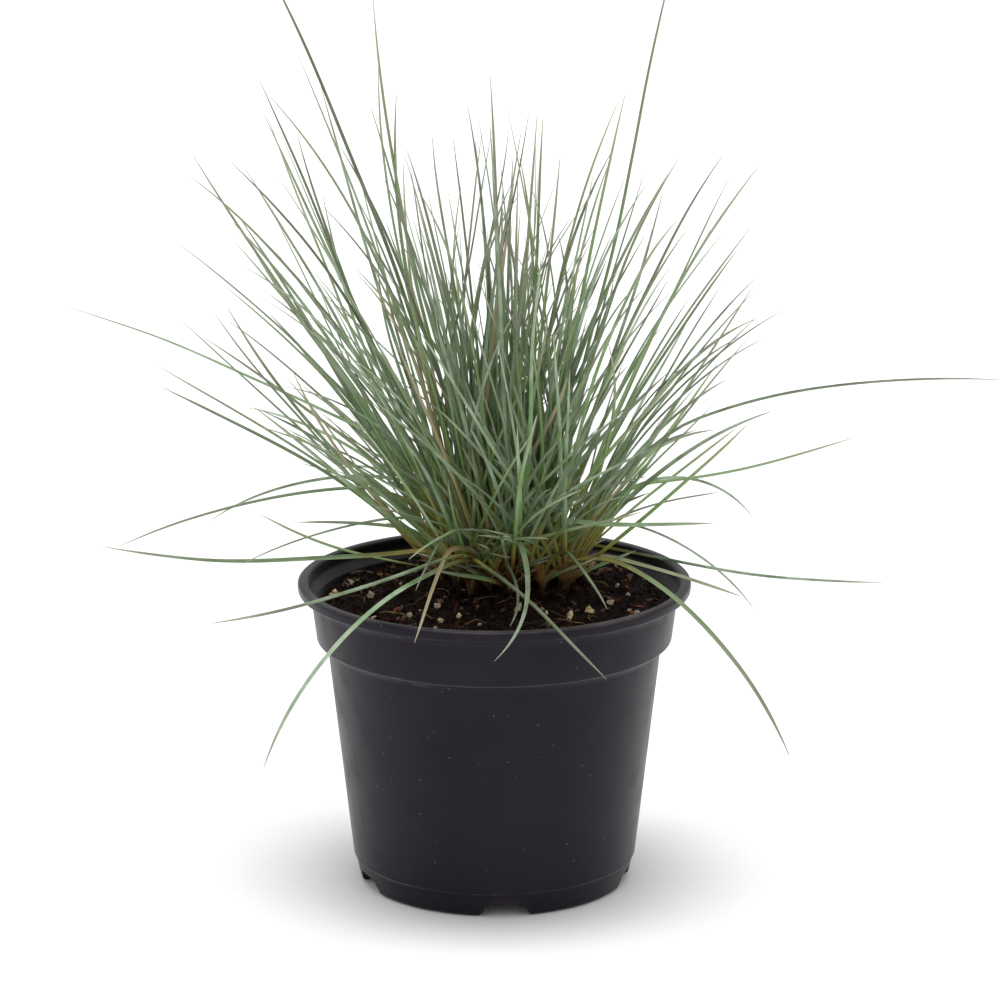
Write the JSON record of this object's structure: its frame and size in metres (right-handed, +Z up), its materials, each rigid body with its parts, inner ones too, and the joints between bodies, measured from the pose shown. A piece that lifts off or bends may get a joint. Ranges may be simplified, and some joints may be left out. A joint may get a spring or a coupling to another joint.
{
  "type": "potted blue fescue clump",
  "caption": "Clump of fine blue-green fescue grass growing in moist potting soil in a round black nursery pot with drainage notches in its foot.",
  "frame": {"origin": "on the pot's axis, at the level that its foot stands on", "axes": "+Z up along the pot's axis, -Y towards the viewer of the front, +X to the viewer's right"},
  "size_m": [0.2442, 0.1701, 0.247],
  "materials": {
    "black_plastic": "thin injection-moulded polypropylene, near black, satin, with fine dust and a few scuffs",
    "potting_soil": "moist peat and bark compost with white perlite grains, matte and crumbly",
    "fescue_leaf": "glaucous blue-green leaf with a waxy matte bloom, straw-coloured at old tips, brown at the sheath"
  },
  "bodies": {
    "root": {"pot": "black_plastic", "potting_soil": "potting_soil", "tiller_01": "fescue_leaf", "tiller_02": "fescue_leaf", "tiller_03": "fescue_leaf", "tiller_04": "fescue_leaf", "tiller_05": "fescue_leaf", "tiller_06": "fescue_leaf", "tiller_07": "fescue_leaf", "tiller_08": "fescue_leaf", "tiller_09": "fescue_leaf", "tiller_10": "fescue_leaf", "tiller_11": "fescue_leaf", "tiller_12": "fescue_leaf", "tiller_13": "fescue_leaf", "tiller_14": "fescue_leaf", "tiller_15": "fescue_leaf", "tiller_16": "fescue_leaf", "tiller_17": "fescue_leaf", "tiller_18": "fescue_leaf", "tiller_19": "fescue_leaf", "tiller_20": "fescue_leaf", "tiller_21": "fescue_leaf", "tiller_22": "fescue_leaf", "tiller_23": "fescue_leaf", "tiller_24": "fescue_leaf", "tiller_25": "fescue_leaf", "tiller_26": "fescue_leaf", "tiller_27": "fescue_leaf", "tiller_28": "fescue_leaf", "tiller_29": "fescue_leaf", "tiller_30": "fescue_leaf", "tiller_31": "fescue_leaf", "tiller_32": "fescue_leaf", "tiller_33": "fescue_leaf", "tiller_34": "fescue_leaf", "tiller_35": "fescue_leaf", "tiller_36": "fescue_leaf", "tiller_37": "fescue_leaf", "tiller_38": "fescue_leaf", "tiller_39": "fescue_leaf", "tiller_40": "fescue_leaf", "tiller_41": "fescue_leaf", "tiller_42": "fescue_leaf"}
  },
  "joints": []
}
